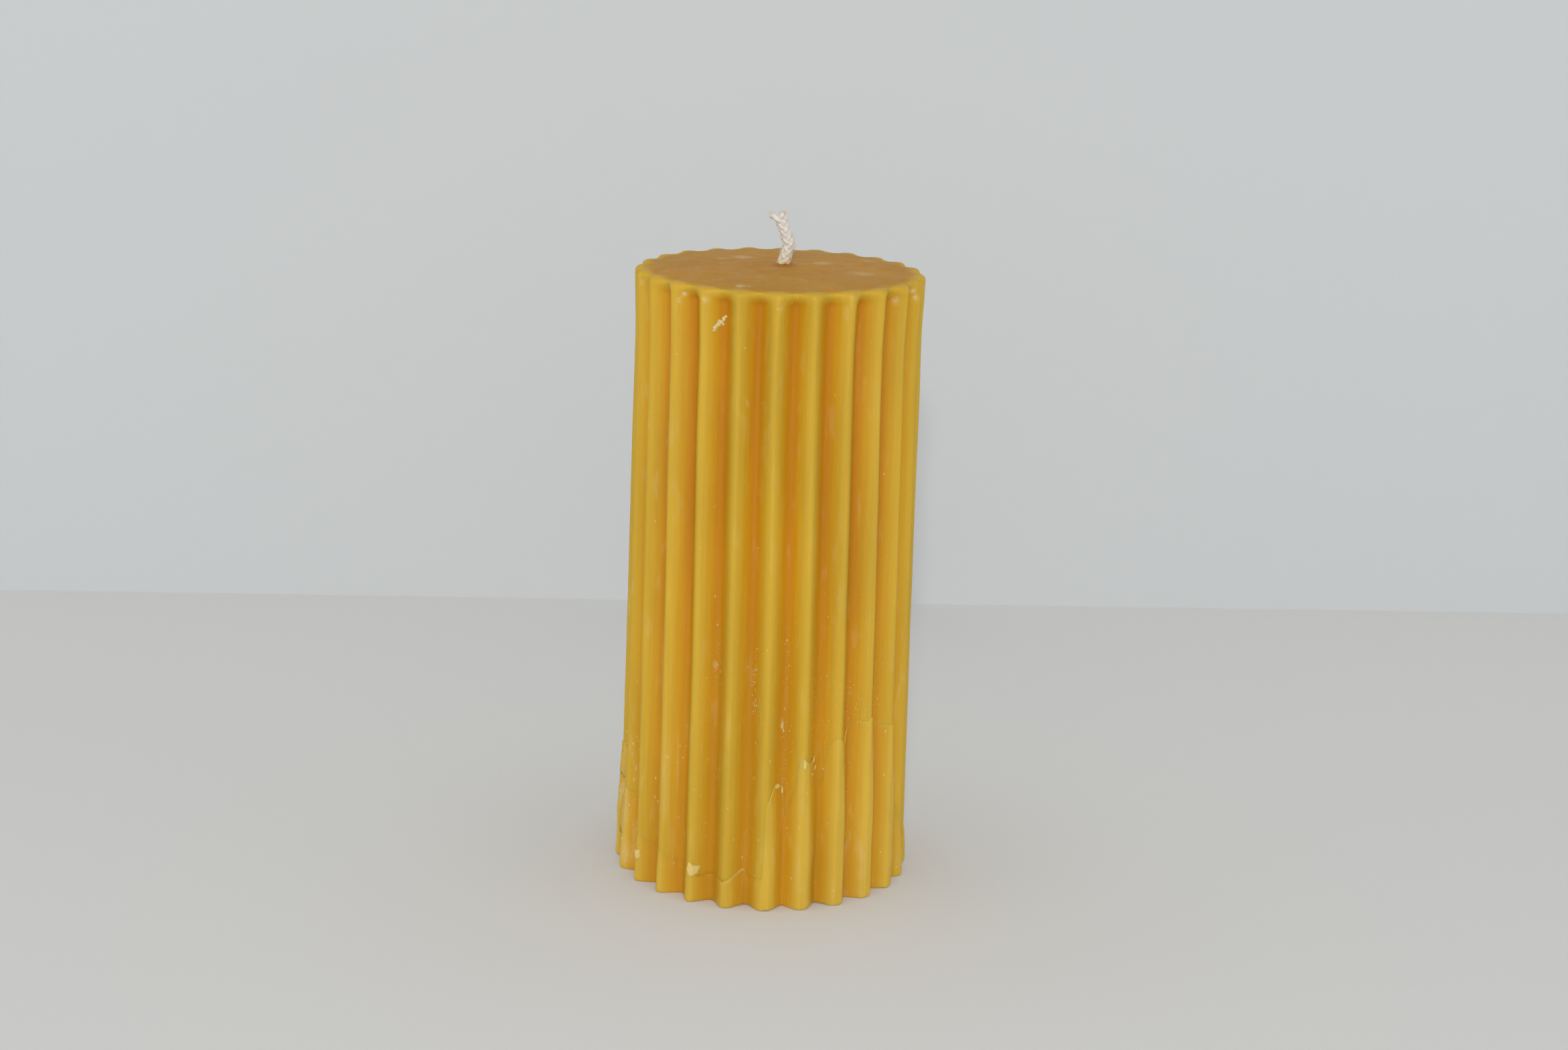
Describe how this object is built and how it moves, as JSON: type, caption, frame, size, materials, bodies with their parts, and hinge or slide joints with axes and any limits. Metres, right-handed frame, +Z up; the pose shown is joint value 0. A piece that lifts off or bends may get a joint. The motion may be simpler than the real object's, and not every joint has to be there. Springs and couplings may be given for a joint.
{
  "type": "pillar candle",
  "caption": "Ribbed cylindrical pillar candle of yellow beeswax with a short, slightly bent braided cotton wick; stands on its flat foot and burns from the top.",
  "frame": {"origin": "middle of the foot, on the surface that the candle stands on", "axes": "+Z up along the candle, one rib facing -Y, +X to the right when that rib is seen from the front"},
  "size_m": [0.0686, 0.0674, 0.1534],
  "materials": {
    "beeswax": "satin, slightly translucent pure beeswax as it left the mould, with a faint pale bloom",
    "wick_cotton": "undyed square-braided cotton, frayed at the cut end and soaked with wax where it leaves the candle"
  },
  "bodies": {
    "root": {"wax_pillar": "beeswax", "foot_pour": "beeswax", "wick": "wick_cotton"}
  },
  "joints": []
}
